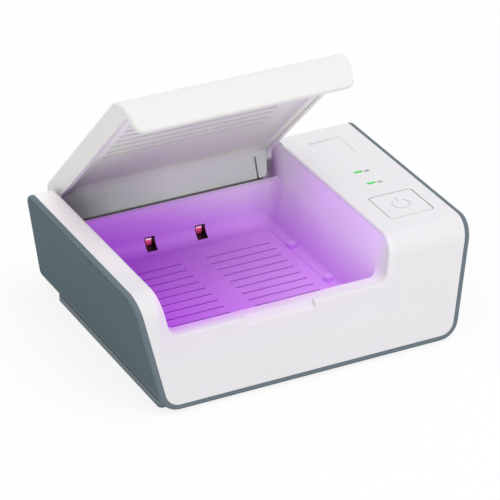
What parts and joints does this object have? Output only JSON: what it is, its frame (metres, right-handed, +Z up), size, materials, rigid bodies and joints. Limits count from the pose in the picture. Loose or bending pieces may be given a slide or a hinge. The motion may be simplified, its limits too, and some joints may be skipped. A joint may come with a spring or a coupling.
{
  "type": "hearing aid dryer",
  "caption": "Hearing aid drying box with a lid that swings up on a rear hinge, a slotted grille over heater and fan, lamp windows in the rear wall, a power button and indicator lights.",
  "frame": {"origin": "centre of the plane that the four feet stand on, below the middle of the case's bounding box", "axes": "+X to the user's right along the width, +Y to the rear, +Z up"},
  "size_m": [0.1494, 0.1171, 0.1139],
  "materials": {
    "slate": "satin",
    "slate_base": "matt",
    "white_shell": "satin",
    "grille": "satin",
    "lid_white": "satin",
    "liner": "satin",
    "magnet": "plain",
    "pin_steel": "brushed",
    "button": "satin",
    "dark_plastic": "matt",
    "board_green": "solder mask",
    "led_white": "gloss",
    "light_pipe": "frosted",
    "uv_glass": "gloss",
    "bracket_metal": "plain",
    "heater_metal": "plain",
    "foot_rubber": "matt",
    "screw_steel": "zinc"
  },
  "bodies": {
    "case": {"side_shell": "slate", "base_plate": "slate_base", "top_shell": "white_shell", "floor_grille": "grille", "hinge_pins": "pin_steel", "power_switch": "dark_plastic", "control_board": "board_green", "indicator_leds": "led_white", "light_pipe_front": "light_pipe", "light_pipe_rear": "light_pipe", "lid_sensor": "dark_plastic", "main_board": "board_green", "board_components": "dark_plastic", "power_inlet": "pin_steel", "lamp_board": "board_green", "uv_lamp_left": "uv_glass", "uv_lamp_right": "uv_glass", "heater_bracket": "bracket_metal", "heater_plate": "heater_metal", "fan_frame": "dark_plastic", "feet": "foot_rubber", "base_screws": "screw_steel", "board_screws": "screw_steel"},
    "lid": {"lid_shell": "lid_white", "lid_liner": "liner", "lid_magnet": "magnet"},
    "button": {"power_button": "button", "switch_plunger": "dark_plastic"},
    "rotor": {"fan_rotor": "dark_plastic"}
  },
  "joints": [
    {"name": "lid_hinge", "type": "hinge", "parent": "case", "child": "lid", "pos_m": [0, 0.0496, 0.0368], "axis": [1, 0, 0], "range_deg": [0, 44.85]},
    {"name": "button_press", "type": "slide", "parent": "case", "child": "button", "axis": [0, 0, -1], "range_m": [0, 0.0008], "stiffness_N_per_m": 2000, "springref_m": -0.0002},
    {"name": "fan_spin", "type": "hinge", "parent": "case", "child": "rotor", "pos_m": [-0.01275, -0.00532, 0.006], "axis": [0, 0, 1], "continuous": true}
  ]
}
